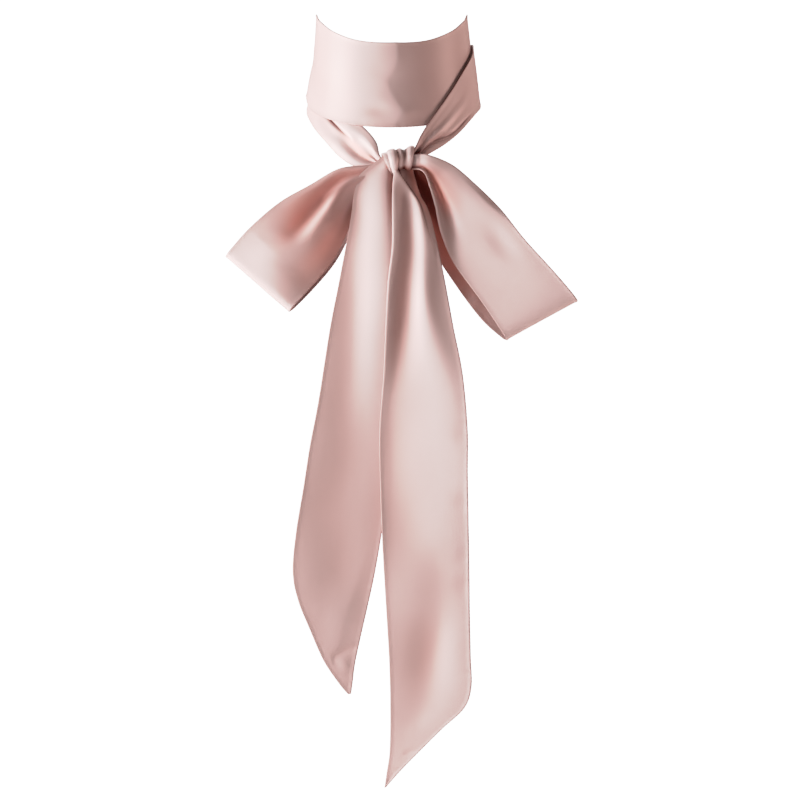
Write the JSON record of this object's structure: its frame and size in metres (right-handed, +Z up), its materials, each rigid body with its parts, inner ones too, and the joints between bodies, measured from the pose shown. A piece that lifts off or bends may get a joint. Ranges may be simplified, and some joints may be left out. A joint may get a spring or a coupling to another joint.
{
  "type": "skinny silk scarf tied in a bow",
  "caption": "Long narrow satin scarf wound twice round the neck and tied at the front in a bow with slanted tails.",
  "frame": {"origin": "centre of the neck that the scarf is wound round, about halfway up the winding", "axes": "+Z up along the neck and towards the head, -Y forward on the side of the bow, +X to the right as the bow is seen"},
  "size_m": [0.2617, 0.1539, 0.5926],
  "materials": {
    "silk_satin": "pale dusty pink silk satin with a soft lengthwise sheen"
  },
  "bodies": {
    "root": {"strap_left": "silk_satin", "back_inner": "silk_satin", "neck_band": "silk_satin", "back_outer": "silk_satin", "strap_right": "silk_satin", "knot_core": "silk_satin", "knot_wrap": "silk_satin", "knot_roll": "silk_satin", "loop_left": "silk_satin", "loop_right": "silk_satin", "tail_left": "silk_satin", "tail_right": "silk_satin"}
  },
  "joints": []
}
